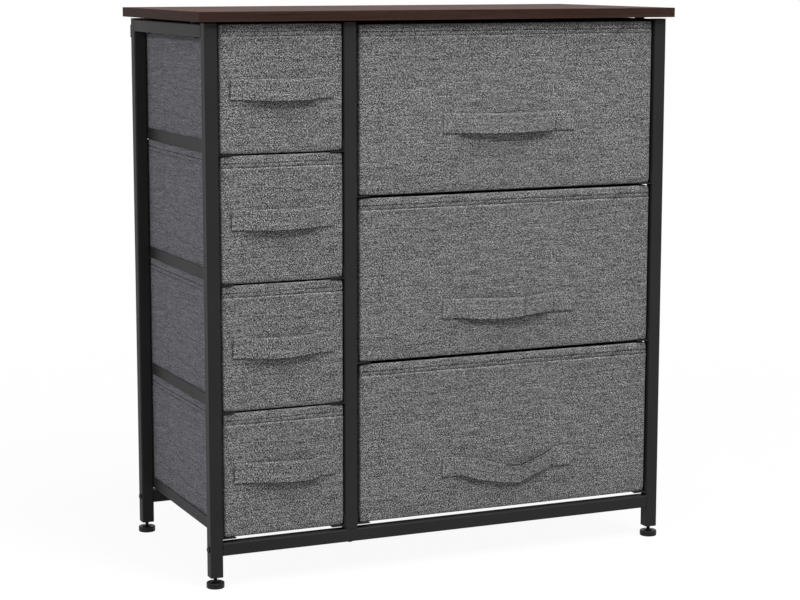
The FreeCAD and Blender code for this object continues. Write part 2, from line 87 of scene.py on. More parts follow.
def blend_numbers(tree, factor, first, second):
    return add(tree, "ShaderNodeMix", {0: factor, 2: first, 3: second}).outputs[0]


def blend_colours(tree, factor, first, second):
    return add(tree, "ShaderNodeMix", {0: factor, 6: first, 7: second},
               data_type="RGBA").outputs[2]


def scaled(tree, vector, x, y, z=1.0):
    """A vector with each part multiplied by a number or a socket."""
    factors = add(tree, "ShaderNodeCombineXYZ", {0: x, 1: y, 2: z}).outputs[0]
    return add(tree, "ShaderNodeVectorMath", {0: vector, 1: factors},
               operation="MULTIPLY").outputs[0]


def noise_of(tree, vector, scale=1.0, detail=2.0, roughness=0.5):
    return add(tree, "ShaderNodeTexNoise", {"Vector": vector, "Scale": scale, "Detail": detail,
                                            "Roughness": roughness}).outputs["Fac"]


def shader_group(name, inputs, outputs):
    """An empty shader node group with named sockets, its input node and its output node."""
    tree = bpy.data.node_groups.new(name, "ShaderNodeTree")
    for label, kind, value in inputs:
        socket = tree.interface.new_socket(label, in_out="INPUT", socket_type=kind)
        if value is not None:
            socket.default_value = value
    for label in outputs:
        tree.interface.new_socket(label, in_out="OUTPUT", socket_type="NodeSocketFloat")
    return tree, tree.nodes.new("NodeGroupInput"), tree.nodes.new("NodeGroupOutput")


# How the heather yarns' tones add up: a yarn's flecks less a share of its neighbours', and
# shares of the yarn on top, of both that cross there and of the slubs. Then a yarn's darkest
# tone, the painted shade of the gaps between yarns, and how much paler a yarn's crown is painted,
# as lit.
NEIGHBOUR_SHARE = 0.3
TOP_SHARE = 0.8
BOTH_SHARE = 0.45
SLUB_SHARE = 0.2
DARKEST_YARN = 0.1
PAINTED_GAP_SHADE = 0.44
PAINTED_CROWN_LIGHT = 0.9
WEFT_SEED, WARP_SEED, SLUB_SEED = 17.9, 3.1, 41.3


def linen_weave():
    """Plain weave of uneven heather yarns with painted shade between them. Shade is about 1 on
    average, Height is 0 to 1.
    """
    tree, given, result = shader_group(
        "linen_weave",
        [("Cloth", "NodeSocketVector", None), ("Yarn pitch", "NodeSocketFloat", 1 * MM),
         ("Fleck length", "NodeSocketFloat", 2.4 * MM),
         ("Slub length", "NodeSocketFloat", 45 * MM), ("Contrast", "NodeSocketFloat", 5.0)],
        ["Shade", "Height"])
    per_yarn = calc(tree, "DIVIDE", 1.0, given.outputs["Yarn pitch"])
    yarns = scaled(tree, given.outputs["Cloth"], per_yarn, per_yarn, 0.0)
    split = add(tree, "ShaderNodeSeparateXYZ", {0: yarns})
    across, up = split.outputs[0], split.outputs[1]
    column, row = calc(tree, "FLOOR", across), calc(tree, "FLOOR", up)
    over = calc(tree, "FLOORED_MODULO", calc(tree, "ADD", column, row), 2.0)

    def off_axis(value):
        """0 on a yarn's axis, 1 at its edges."""
        centred = calc(tree, "SUBTRACT", calc(tree, "FRACT", value), 0.5)
        return calc(tree, "MULTIPLY", calc(tree, "MULTIPLY", centred, centred), 4.0)

    def crown(beside, along):
        """A yarn's height: it falls off to its sides, and less where it dips under another."""
        round_top = calc(tree, "SUBTRACT", 1.0, calc(tree, "MULTIPLY", beside, 0.8))
        arched = calc(tree, "SUBTRACT", 1.0, calc(tree, "MULTIPLY", along, 0.45))
        return calc(tree, "MULTIPLY", round_top, arched)

    side, end = off_axis(across), off_axis(up)
    height = blend_numbers(tree, over, crown(end, side), crown(side, end))

    def tone(number, along, seed, length, detail):
        """Uneven tone of one yarn along its length, unlike that of its neighbours."""
        stretch = calc(tree, "DIVIDE", given.outputs["Yarn pitch"], given.outputs[length])
        place = add(tree, "ShaderNodeCombineXYZ", {
            0: calc(tree, "MULTIPLY", number, 7.37), 1: calc(tree, "MULTIPLY", along, stretch),
            2: seed}).outputs[0]
        return calc(tree, "SUBTRACT", noise_of(tree, place, detail=detail, roughness=0.95), 0.5)

    def lively(number, along, seed):
        """A yarn's flecks, less a share of its neighbours', as if pale yarns kept apart."""
        before = tone(calc(tree, "SUBTRACT", number, 1.0), along, seed, "Fleck length", 2.0)
        after = tone(calc(tree, "ADD", number, 1.0), along, seed, "Fleck length", 2.0)
        own = tone(number, along, seed, "Fleck length", 2.0)
        return calc(tree, "MULTIPLY_ADD", calc(tree, "ADD", before, after), -NEIGHBOUR_SHARE,
                    own)

    weft, warp = lively(row, across, WEFT_SEED), lively(column, up, WARP_SEED)
    slubs = calc(tree, "MULTIPLY", tone(row, across, SLUB_SEED, "Slub length", 1.0), SLUB_SHARE)
    upper = blend_numbers(tree, over, weft, warp)
    both = calc(tree, "MULTIPLY_ADD", calc(tree, "ADD", weft, warp), BOTH_SHARE, slubs)
    spread = calc(tree, "MULTIPLY", calc(tree, "MULTIPLY_ADD", upper, TOP_SHARE, both),
                  given.outputs["Contrast"])
    yarns_tone = calc(tree, "MAXIMUM", calc(tree, "ADD", 1.0, spread), DARKEST_YARN)
    # Painted shade: darker in the gaps between yarns, paler on their crowns.
    relief_shade = calc(tree, "MULTIPLY_ADD", height, PAINTED_CROWN_LIGHT, PAINTED_GAP_SHADE)
    tree.links.new(calc(tree, "MULTIPLY", yarns_tone, relief_shade), result.inputs["Shade"])
    tree.links.new(height, result.inputs["Height"])
    return tree


def pressed_dots():
    """Felted lining with a grid of pressed dots, painted darker as shade. Height and Shade are 0
    to 1.
    """
    tree, given, result = shader_group(
        "pressed_dots", [("Cloth", "NodeSocketVector", None),
                         ("Dot pitch", "NodeSocketFloat", 2.2 * MM)], ["Shade", "Height"])
    per_dot = calc(tree, "DIVIDE", 1.0, given.outputs["Dot pitch"])
    grid = scaled(tree, given.outputs["Cloth"], per_dot, per_dot, 0.0)
    cell = add(tree, "ShaderNodeVectorMath", {0: grid}, operation="FRACTION").outputs[0]
    centred = add(tree, "ShaderNodeVectorMath", {0: cell, 1: (0.5, 0.5, 0)},
                  operation="SUBTRACT").outputs[0]
    away = add(tree, "ShaderNodeVectorMath", {0: centred}, operation="LENGTH").outputs["Value"]
    raised = add(tree, "ShaderNodeMapRange", {"Value": away, "From Min": 0.2, "From Max": 0.34})
    fibres = noise_of(tree, given.outputs["Cloth"], scale=900, detail=3.0)
    height = calc(tree, "MULTIPLY_ADD", fibres, 0.4, raised.outputs[0])
    tree.links.new(height, result.inputs["Height"])
    # The dots are painted darker from their depth, as shade.
    tree.links.new(calc(tree, "MULTIPLY_ADD", height, 0.35, 0.65), result.inputs["Shade"])
    return tree


def wood_grain():
    """Straight grain along X, or along Y where Turned is 1. Grain and Pores are 0 to 1."""
    tree, given, result = shader_group(
        "wood_grain", [("Place", "NodeSocketVector", None), ("Turned", "NodeSocketFloat", 0.0)],
        ["Grain", "Pores"])
    place = given.outputs["Place"]
    split = add(tree, "ShaderNodeSeparateXYZ", {0: place})
    x, y, z = split.outputs
    turned = given.outputs["Turned"]
    along, beside = blend_numbers(tree, turned, x, y), blend_numbers(tree, turned, y, x)
    fibre = add(tree, "ShaderNodeCombineXYZ", {0: along, 1: beside, 2: z}).outputs[0]
    bend = calc(tree, "MULTIPLY", noise_of(tree, fibre, scale=4.0), 0.012)
    shifted = add(tree, "ShaderNodeVectorMath", {
        0: fibre, 1: add(tree, "ShaderNodeCombineXYZ", {0: 0.0, 1: bend, 2: bend}).outputs[0]})
    bands = noise_of(tree, scaled(tree, shifted.outputs[0], 2.5, 90.0, 90.0), detail=5.0,
                     roughness=0.62)
    streaks = noise_of(tree, scaled(tree, shifted.outputs[0], 14.0, 700.0, 700.0), detail=2.0)
    grain = calc(tree, "ADD", calc(tree, "MULTIPLY", bands, 0.65),
                 calc(tree, "MULTIPLY", streaks, 0.35))
    pores = add(tree, "ShaderNodeMapRange", {
        "Value": noise_of(tree, scaled(tree, fibre, 45.0, 1600.0, 1600.0), detail=1.0),
        "From Min": 0.6, "From Max": 0.72}).outputs[0]
    tree.links.new(grain, result.inputs["Grain"])
    tree.links.new(pores, result.inputs["Pores"])
    return tree


def fine_pitting():
    """Orange peel of paint or moulded plastic, with soft clouds. Both are 0 to 1."""
    tree, given, result = shader_group(
        "fine_pitting", [("Place", "NodeSocketVector", None),
                         ("Grain size", "NodeSocketFloat", 1.2 * MM)], ["Pits", "Clouds"])
    scale = calc(tree, "DIVIDE", 1.0, given.outputs["Grain size"])
    tree.links.new(noise_of(tree, given.outputs["Place"], scale=scale, detail=2.0),
                   result.inputs["Pits"])
    tree.links.new(noise_of(tree, given.outputs["Place"], scale=9.0, detail=4.0),
                   result.inputs["Clouds"])
    return tree


GROUPS = {build.__name__: build() for build in (linen_weave, pressed_dots, wood_grain,
                                                fine_pitting)}


# ---------------------------------------------------------------- materials

def new_material(name, **fixed):
    """A material with a Principled BSDF whose unchanging values are set on its own sockets."""
    material = bpy.data.materials.new(name)
    material.use_nodes = True
    tree = material.node_tree
    shader = tree.nodes["Principled BSDF"]
    for label, value in fixed.items():
        shader.inputs[label.replace("_", " ")].default_value = value
    return material, tree, shader


def group_node(tree, name, **inputs):
    node = add(tree, "ShaderNodeGroup", node_tree=GROUPS[name])
    for label, value in inputs.items():
        socket = node.inputs[label.replace("_", " ")]
        if isinstance(value, bpy.types.NodeSocket):
            tree.links.new(value, socket)
        else:
            socket.default_value = value
    return node


def bump(tree, shader, height, depth, strength=1.0):
    node = add(tree, "ShaderNodeBump", {"Height": height, "Distance": depth,
                                        "Strength": strength})
    tree.links.new(node.outputs[0], shader.inputs["Normal"])


def cloth_place(tree):
    return add(tree, "ShaderNodeUVMap", uv_map="cloth").outputs[0]


def object_place(tree):
    return add(tree, "ShaderNodeTexCoord").outputs["Object"]


YARN_PITCH = 1.5 * MM
FOLD_CORE = 0.3  # the share of a fold's reach that is marked in full
# the darkest that the painted shade along folds leaves the cloth
DARKEST_PAINTED_SHADE = 0.03


def linen(name, colour, contrast, folds):
    """Heather linen-look cloth whose weave follows the piece's own cloth map. Folds are given by
    their V on that map, how far their mark reaches, how much paler it is, as a painted highlight
    where light catches a fold and partly where the weave opens there, or darker, as painted shade
    in a crease, and the U from and to which it goes. A crease across the cloth has U for V. On a
    bin, V is how high a place on the outside is above the rim, so it is less than 0."""
    material, tree, shader = new_material(name, Sheen_Weight=0.08, Sheen_Roughness=0.6,
                                          Specular_IOR_Level=0.18)
    cloth = cloth_place(tree)
    weave = group_node(tree, "linen_weave", Cloth=cloth, Yarn_pitch=YARN_PITCH,
                       Contrast=contrast)
    shade = weave.outputs["Shade"]
    along, up, _ = add(tree, "ShaderNodeSeparateXYZ", {0: cloth}).outputs
    # Painted highlights and painted shade along the folds and creases.
    for line, reach, change, start, stop, across in folds:
        away = calc(tree, "ABSOLUTE", calc(tree, "SUBTRACT", along if across else up, line))
        if start is not None:
            middle, half = (start + stop) / 2, (stop - start) / 2
            past = calc(tree, "SUBTRACT", calc(tree, "ABSOLUTE",
                                               calc(tree, "SUBTRACT", along, middle)), half)
            away = calc(tree, "ADD", away, calc(tree, "MAXIMUM", past, 0.0))
        marked = add(tree, "ShaderNodeMapRange", {
            "Value": away, "From Min": FOLD_CORE * reach, "From Max": reach, "To Min": change,
            "To Max": 0.0}).outputs[0]
        shade = calc(tree, "ADD", shade, marked)
    shade = calc(tree, "MAXIMUM", shade, DARKEST_PAINTED_SHADE)
    tint = add(tree, "ShaderNodeVectorMath", {0: colour[:3], "Scale": shade},
               operation="SCALE").outputs[0]
    tree.links.new(tint, shader.inputs["Base Color"])
    rough = calc(tree, "MULTIPLY_ADD", weave.outputs["Height"], -0.1, 0.95)
    tree.links.new(rough, shader.inputs["Roughness"])
    bump(tree, shader, weave.outputs["Height"], 0.25 * MM, 0.6)
    return material


def felt(name, colour):
    """Charcoal non-woven lining."""
    material, tree, shader = new_material(name, Specular_IOR_Level=0.2)
    dots = group_node(tree, "pressed_dots", Cloth=cloth_place(tree))
    tint = add(tree, "ShaderNodeVectorMath", {0: colour[:3], "Scale": dots.outputs["Shade"]},
               operation="SCALE").outputs[0]
    tree.links.new(tint, shader.inputs["Base Color"])
    tree.links.new(calc(tree, "MULTIPLY_ADD", dots.outputs["Height"], 0.15, 0.75),
                   shader.inputs["Roughness"])
    bump(tree, shader, dots.outputs["Height"], 0.2 * MM, 0.7)
    return material


def pitted(name, colour, rough, grain=1.2 * MM, depth=0.05 * MM, metal=0.0, specular=0.5):
    """Paint, plastic or plating with a fine uneven surface."""
    material, tree, shader = new_material(name, Metallic=metal, Specular_IOR_Level=specular)
    pits = group_node(tree, "fine_pitting", Place=object_place(tree), Grain_size=grain)
    lighter = tuple(part * 1.25 for part in colour[:3]) + (1.0,)
    darker = tuple(part * 0.8 for part in colour[:3]) + (1.0,)
    tree.links.new(blend_colours(tree, pits.outputs["Clouds"], darker, lighter),
                   shader.inputs["Base Color"])
    tree.links.new(calc(tree, "MULTIPLY_ADD", pits.outputs["Clouds"], 0.16, rough - 0.08),
                   shader.inputs["Roughness"])
    bump(tree, shader, pits.outputs["Pits"], depth)
    return material


FACING = 0.7  # how far along an axis a face's normal points where the face looks that way


def espresso_laminate():
    """Dark wood-grain laminate, its grain along the board and along its short edges, its top
    painted paler as lit.
    """
    material, tree, shader = new_material("espresso_laminate", Specular_IOR_Level=0.035)
    facing = add(tree, "ShaderNodeSeparateXYZ", {
        0: add(tree, "ShaderNodeNewGeometry").outputs["Normal"]})
    end_face = calc(tree, "GREATER_THAN", calc(tree, "ABSOLUTE", facing.outputs[0]), FACING)
    wood = group_node(tree, "wood_grain", Place=object_place(tree), Turned=end_face)
    grain = add(tree, "ShaderNodeMapRange", {"Value": wood.outputs["Grain"], "From Min": 0.3,
                                             "From Max": 0.72}).outputs[0]
    # The top face is painted paler than the edges, as lit from above.
    top_face = calc(tree, "GREATER_THAN", facing.outputs[2], FACING)
    band = blend_colours(tree, grain, srgb(41, 28, 24), srgb(69, 51, 45))
    lit_deck = blend_colours(tree, grain, srgb(52, 33, 29), srgb(85, 63, 57))
    tone = blend_colours(tree, top_face, band, lit_deck)
    pored = blend_colours(tree, calc(tree, "MULTIPLY", wood.outputs["Pores"], 0.6), tone,
                          srgb(22, 15, 13))
    tree.links.new(pored, shader.inputs["Base Color"])
    tree.links.new(calc(tree, "MULTIPLY_ADD", grain, 0.12, 0.5), shader.inputs["Roughness"])
    relief = calc(tree, "SUBTRACT", grain, wood.outputs["Pores"])
    bump(tree, shader, relief, 0.04 * MM)
    return material


def raw_fibreboard():
    """Pressed fibre, seen at the cut edges of the boards in the bins."""
    material, tree, shader = new_material("raw_fibreboard", Roughness=0.9)
    flecks = group_node(tree, "fine_pitting", Place=object_place(tree), Grain_size=0.8 * MM)
    tree.links.new(blend_colours(tree, flecks.outputs["Pits"], srgb(128, 104, 78),
                                 srgb(176, 150, 118)), shader.inputs["Base Color"])
    bump(tree, shader, flecks.outputs["Pits"], 0.1 * MM)
    return material


def painted_fold_mark(line, reach, change, start=None, stop=None, across=False):
    """A fold's painted highlight, where change is above 0, and painted shade, where it is below
    0, with its places in mm.
    """
    ends = (None, None) if start is None else (start * MM, stop * MM)
    return (line * MM, reach * MM, change, *ends, across)


# The hem's marks: a painted highlight on the rim, partly where the weave opens there, painted
# shade at the stitch line and in the crease where the hem band ends, and a painted highlight on
# the ledge below it.
HEM_FOLDS = (painted_fold_mark(-0.6, 2.0, 0.22), painted_fold_mark(-11.4, 1.1, -0.2), painted_fold_mark(-17.9, 1.0, -0.4),
             painted_fold_mark(-19.6, 1.3, 0.28))
# The sides' marks: a painted highlight on the rim and painted shade in the crease where the hem
# band ends.
SIDE_FOLDS = (painted_fold_mark(-0.6, 2.0, 0.15), painted_fold_mark(-17.9, 1.0, -0.1))
FRONT_CONTRAST, SIDE_CONTRAST = 12.5, 9.4
FRONT_LINEN = linen("front_linen", srgb(101, 101, 101), FRONT_CONTRAST, HEM_FOLDS)
# The sides use the front's cloth painted with a bluish tint, as cool shade on the left side.
SHADE_TINTED_SIDE_LINEN = linen("side_linen", srgb(100, 100, 106), SIDE_CONTRAST, SIDE_FOLDS)
# Painted highlight along a strap's upper edge, partly where the weave opens at the fold, and
# painted shade along its lower edge.
UPPER_EDGE_HIGHLIGHT, LOWER_EDGE_SHADE = painted_fold_mark(34.2, 1.1, 0.45), painted_fold_mark(64.5, 2.0, -1.3)
STRAP_FOLDS = {
    "plain": (UPPER_EDGE_HIGHLIGHT, LOWER_EDGE_SHADE),
    # A crease painted paler where it faces the light and darker where it turns away.
    "crease_light_and_shade": (UPPER_EDGE_HIGHLIGHT, LOWER_EDGE_SHADE, painted_fold_mark(132.3, 1.3, 0.4, across=True),
                painted_fold_mark(136.5, 3.6, -0.35, across=True)),
    # Painted shadow along the right part of the upper edge, as of the slit behind the sagging
    # strap.
    "slit_shadow": (LOWER_EDGE_SHADE, painted_fold_mark(34.2, 2.3, -1.7, 107, 190)),
}
STRAP_LINENS = {mark_set: linen(mark_set + "_strap_linen", srgb(102, 102, 102), FRONT_CONTRAST, folds)
                for mark_set, folds in STRAP_FOLDS.items()}
# Which straps have the painted crease marks or the painted shadow of the slit.
STRAP_MARKS = {"large_drawer_2": "crease_light_and_shade", "large_drawer_3": "slit_shadow"}
LINING = felt("charcoal_lining", srgb(58, 58, 60))
POWDER_COAT = pitted("black_powder_coat", srgb(41, 41, 41), 0.5, specular=0.09)
PLASTIC = pitted("black_moulded_plastic", srgb(15, 15, 15), 0.45, grain=0.5 * MM, specular=0.2)
RUBBER = pitted("black_rubber", srgb(26, 26, 26), 0.8, grain=0.5 * MM)
ZINC = pitted("black_zinc", srgb(38, 38, 40), 0.38, grain=0.3 * MM, depth=0.02 * MM, metal=0.9)
FIBREBOARD = raw_fibreboard()
LAMINATE = espresso_laminate()
THREAD = pitted("charcoal_thread", srgb(18, 18, 19), 0.85, grain=0.25 * MM, depth=0.1 * MM,
                specular=0.2)


# ---------------------------------------------------------------- meshes

def new_piece(name, mesh, materials):
    """An object made of a bmesh, with its place in its mesh and its faces outward."""
    bmesh.ops.recalc_face_normals(mesh, faces=mesh.faces)
    data = bpy.data.meshes.new(name)
    mesh.to_mesh(data)
    mesh.free()
    for material in materials:
        data.materials.append(material)
    piece = bpy.data.objects.new(name, data)
    bpy.context.scene.collection.objects.link(piece)
    return piece


def loft(name, rings, materials, finish=None, cloth=None):
    """A closed skin through rings of equally many points, flat at its first and last ring.
    finish gives a face's material, and cloth a point's place on the flat cloth, by ring and by
    number in the ring."""
    mesh = bmesh.new()
    layer = mesh.loops.layers.uv.new("cloth")
    points = [[mesh.verts.new(place) for place in ring] for ring in rings]
    count = len(rings[0])
    for ring in range(len(rings) - 1):
        for number in range(count):
            around = ((ring, number), (ring, number + 1), (ring + 1, number + 1),
                      (ring + 1, number))
            face = mesh.faces.new([points[row][item % count] for row, item in around])
            face.smooth = True
            face.material_index = finish(ring, number) if finish else 0
            for loop, (row, item) in zip(face.loops, around):
                loop[layer].uv = cloth(row, item) if cloth else (0, 0)
    for ring, last in ((points[0], False), (points[-1], True)):
        cap = mesh.faces.new(ring if last else ring[::-1])
        cap.material_index = finish(len(rings) - 1 if last else 0, 0) if finish else 0
        for loop in cap.loops:
            loop[layer].uv = loop.vert.co.xy
    return new_piece(name, mesh, materials)


def running_length(places):
    """How far along a row of places each of them is."""
    lengths = [0.0]
    for before, after in zip(places, places[1:]):
        lengths.append(lengths[-1] + (after - before).length)
    return lengths


CORNER_STEPS = 5
QUARTERS = ((-1, 1), (-1, -1), (1, -1), (1, 1))  # which way each corner is along X and Y


def rounded_loop(half_x, half_y, radii, steps):
    """Places round a rectangle whose front and rear corners are rounded by these two radii, and
    which way is outward at each. They go from the rear left corner along the left side, the
    front, the right side and the rear."""
    arcs = []
    for number, (side, end) in enumerate(QUARTERS):
        radius = radii[0] if end < 0 else radii[1]
        middle = Vector((side * (half_x - radius), end * (half_y - radius), 0))
        arc = []
        for step in range(CORNER_STEPS + 1):
            angle = math.radians(90 * (number + 1 + step / CORNER_STEPS))
            outward = Vector((math.cos(angle), math.sin(angle), 0))
            arc.append((middle + radius * outward, outward))
        arcs.append(arc)
    loop = []
    for number, arc in enumerate(arcs):
        loop += arc
        start, outward = arc[-1]
        stop = arcs[(number + 1) % 4][0][0]
        count = steps[number % 2]
        loop += [(start.lerp(stop, step / count), outward) for step in range(1, count)]
    return loop


# ---------------------------------------------------------------- fabric bins

# A wall from outside in, and how much the stiffener boards are clear of the cloth.
SKIN, STIFFENER, LINING_THICK = 1.2 * MM, 3.0 * MM, 0.6 * MM
BOARD_PLAY = 1.0 * MM
SHOULDER = 0.5 * MM  # how far the hem's plane is inside the CAD bin's box
# The turned-in lip, the rolled rim and how far the wall leans in to it.
LIP_INSET, LIP_DEPTH = 5.2 * MM, 20 * MM
ROLL_HEIGHT, RIM_LEAN = 2.6 * MM, 0.5 * MM
HEM_DEPTH = 18 * MM
STITCH_DROP, STITCH_DIMPLE = 11.4 * MM, 0.5 * MM
BOTTOM_ROUND, TUCK = 3.0 * MM, 0.9 * MM
BIN_ROUNDS = (3.2 * MM, 1.6 * MM)  # the upright corners, at the front and at the rear
# How far the cloth draws back to the front corners, and how near to them.
CROWN, CROWN_REACH = 0.8 * MM, 6 * MM
REAR_BOW = 1.0 * MM  # how far a small bin's left side bows out towards the rear
GRID = 8 * MM
LINEN_FACE, SIDE_FACE, LINING_FACE = range(3)

# The rolled rim and the rounded bottom edge in steps, and rows of the walls between them.
ROLL_STEPS, BOTTOM_STEPS = 8, 4
LINING_ROW, SKIN_ROW = 16 * MM, 11 * MM
# Where the wall eases into the leaning rim and into the tucked bottom: a share of that, and how
# far below the rim or above the floor in mm.
RIM_EASE = ((0.5, 4.5), (0.15, 7))
TUCK_EASE = ((0.15, 9), (0.5, 6))
# Rows of the stitched dimple and of the step where the hem band ends: how far below the middle
# of either, and how far in the step is there, in mm.
DIMPLE_ROWS = (-2.4, -1.5, -0.7, 0, 0.7, 1.5, 2.4)
DIMPLE_WIDTH = 1.3
HEM_STEP = ((-1.6, 0.1), (-0.9, 0.45), (-0.5, 1.3), (0.4, 1.4), (0.7, 0.4), (1.1, -0.2),
            (1.8, -0.5), (3.5, -0.45), (8, -0.15))

# The cloth's waves over the boards: how long and how high, and how far below the rim the short
# ones reach.
BROAD_LENGTH, BROAD_HEIGHT = 0.11, 0.35 * MM
SHORT_LENGTH, SHORT_HEIGHT, SHORT_REACH = 0.021, 0.28 * MM, 26 * MM
LINED_SLACK = 0.4  # the share of them that the lining has
# How far the rim's corners drop, and how far that reaches along the rim and down.
CORNER_DROP, CORNER_REACH, CORNER_DEPTH = 1.2 * MM, 6 * MM, 5 * MM
LEAST_ROUND = 0.4 * MM
THREAD_PROUD = 0.45 * MM  # how far the thread lies out of its dimple


def bin_profile(floor, rim):
    """A wall's rows from the inside floor over the rim to the underside: how far each is inside
    the hem's outer plane, its height, and whether it is lining."""
    inner = SKIN + STIFFENER + LINING_THICK
    rows = [(inner + 1 * MM, floor + SKIN, True), (inner, floor + SKIN + 1 * MM, True)]
    low, high = floor + 12 * MM, rim - LIP_DEPTH - 1 * MM
    count = round((high - low) / LINING_ROW)
    rows += [(inner, low + (high - low) * step / count, True) for step in range(count + 1)]
    rows += [(LIP_INSET, rim - LIP_DEPTH, False), (LIP_INSET, rim - LIP_DEPTH / 2, False)]
    half_roll = LIP_INSET / 2
    for step in range(ROLL_STEPS + 1):
        angle = math.pi * step / ROLL_STEPS
        rows.append((half_roll + half_roll * math.cos(angle) + RIM_LEAN * step / ROLL_STEPS,
                     rim - ROLL_HEIGHT * (1 - math.sin(angle)), False))
    rows += [(RIM_LEAN * share, rim - drop * MM, False) for share, drop in RIM_EASE]
    rows += [(STITCH_DIMPLE * math.exp(-(drop / DIMPLE_WIDTH) ** 2),
              rim - STITCH_DROP - drop * MM, False) for drop in DIMPLE_ROWS]
    hem_end = rim - HEM_DEPTH
    rows += [(inset * MM, hem_end - drop * MM, False) for drop, inset in HEM_STEP]
    low, high = floor + 14 * MM, hem_end - 13 * MM
    count = round((high - low) / SKIN_ROW)
    rows += [(0.0, high + (low - high) * step / count, False) for step in range(count + 1)]
    rows += [(TUCK * share, floor + rise * MM, False) for share, rise in TUCK_EASE]
    for step in range(BOTTOM_STEPS + 1):
        angle = math.pi / 2 * step / BOTTOM_STEPS
        rows.append((TUCK + BOTTOM_ROUND * (1 - math.cos(angle)),
                     floor + BOTTOM_ROUND * (1 - math.sin(angle)), False))
    return rows


def softness(place, rim):
    """How far cloth over a board stands out of true: broad waves, and short ones at the hem."""
    broad = noise.noise(place / BROAD_LENGTH) * BROAD_HEIGHT
    near_hem = math.exp(-((rim - place.z) / SHORT_REACH) ** 2)
    short = noise.noise(place / SHORT_LENGTH + Vector((7, 3, 1))) * SHORT_HEIGHT * near_hem
    return broad + short


def fabric_bin(name):
    """Fabric bin with soft corners, a hem band, a turned-in lip and a lining. Gives the line of
    its stitches."""
    low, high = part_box(name + "_bin")
    middle = (low + high) / 2
    half_x, half_y = (high - low).x / 2 - SHOULDER, (high - low).y / 2 - SHOULDER
    steps = (round(2 * half_y / GRID), round(2 * half_x / GRID))
    rows = bin_profile(low.z, high.z)

    def ring(inset, height, lined):
        radii = [max(radius - inset, LEAST_ROUND) for radius in BIN_ROUNDS]
        places = []
        for flat, outward in rounded_loop(half_x - inset, half_y - inset, radii, steps):
            place = Vector((middle.x + flat.x, middle.y + flat.y, height))
            corner = math.exp(-((half_x - abs(flat.x)) ** 2 + (half_y - abs(flat.y)) ** 2)
                              / CORNER_REACH ** 2)
            near_rim = math.exp(-((high.z - height) / CORNER_DEPTH) ** 2)
            drop = CORNER_DROP * corner * near_rim
            slack = softness(place, high.z) * (LINED_SLACK if lined else 1.0)
            if name in SMALL_DRAWERS and outward.x < -0.9 and flat.y > 0 and not lined:
                slack += REAR_BOW * math.sin(math.pi / 2 * flat.y / half_y)
            crown = 0.0
            if flat.y <= 0 and not lined:
                from_corner = max(half_x - abs(flat.x), half_y - abs(flat.y))
                crown = CROWN * math.exp(-from_corner / CROWN_REACH)
            places.append(place + outward * (slack - crown) - Vector((0, 0, drop)))
        return places

    rings = [ring(*row) for row in rows]
    nominal = rounded_loop(half_x, half_y, BIN_ROUNDS, steps)
    along = running_length([place for place, _ in nominal + nominal[:1]])
    level = [rows[-1][1] - high.z]
    for after, before in zip(rows[:0:-1], rows[-2::-1]):
        outside = before[0] < LIP_INSET - 1 * MM and before[1] <= high.z - ROLL_HEIGHT
        level.append(before[1] - high.z if outside
                     else level[-1] + math.dist(before[:2], after[:2]))
    level.reverse()

    def finish(row, number):
        if rows[min(row, len(rows) - 1)][2]:
            return LINING_FACE
        outward = nominal[number][1]
        return SIDE_FACE if abs(outward.x) > abs(outward.y) else LINEN_FACE

    piece = loft(name + "_fabric_bin", rings, (FRONT_LINEN, SHADE_TINTED_SIDE_LINEN, LINING), finish,
                 lambda row, number: (along[number], level[row]))
    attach(piece, name)
    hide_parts(name + "_bin")
    return ring(STITCH_DIMPLE - THREAD_PROUD, high.z - STITCH_DROP, False)


# ---------------------------------------------------------------- boards in the bins

WALL_BOARD_CORNER, FLOOR_BOARD_CORNER = 3 * MM, 4 * MM


def board(mesh, low, high, corner, flat_axis):
    """Adds a board between two corners to the mesh, with the corners of its flat side rounded."""
    result = bmesh.ops.create_cube(mesh, size=1.0)
    centre, span = (low + high) / 2, high - low
    for vertex in result["verts"]:
        vertex.co = Vector(centre[axis] + vertex.co[axis] * span[axis] for axis in range(3))
    edges = {edge for vertex in result["verts"] for edge in vertex.link_edges}
    short = [edge for edge in edges
             if abs(edge.verts[0].co[flat_axis] - edge.verts[1].co[flat_axis]) > 1e-6]
    bmesh.ops.bevel(mesh, geom=short, offset=corner, segments=4, profile=0.5, affect="EDGES")


def wall_boards(name):
    """The four stiffener boards in a bin's walls, clear of the cloth where it dips."""
    low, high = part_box(name + "_wall_boards")
    play = Vector((BOARD_PLAY, BOARD_PLAY, 0))
    low, high = low + play, high - play
    mesh = bmesh.new()
    thick = STIFFENER - BOARD_PLAY
    for end in (low, high):
        inner = end.y + (thick if end is low else -thick)
        board(mesh, Vector((low.x, min(end.y, inner), low.z)),
              Vector((high.x, max(end.y, inner), high.z)), WALL_BOARD_CORNER, 1)
    for side in (low, high):
        inner = side.x + (thick if side is low else -thick)
        board(mesh, Vector((min(side.x, inner), low.y + thick, low.z)),
              Vector((max(side.x, inner), high.y - thick, high.z)), WALL_BOARD_CORNER, 0)
    piece = new_piece(name + "_stiffeners", mesh, [FIBREBOARD])
    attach(piece, name)
    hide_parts(name + "_wall_boards")


def bottom_board(name):
    """The loose board on a bin's floor, wrapped in lining."""
    low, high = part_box(name + "_bottom_board")
    mesh = bmesh.new()
    board(mesh, low, high, FLOOR_BOARD_CORNER, 2)
    layer = mesh.loops.layers.uv.new("cloth")
    for face in mesh.faces:
        for loop in face.loops:
            loop[layer].uv = loop.vert.co.xy
    piece = new_piece(name + "_floor_board", mesh, [LINING])
    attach(piece, name)
    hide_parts(name + "_bottom_board")


# ---------------------------------------------------------------- strap handles

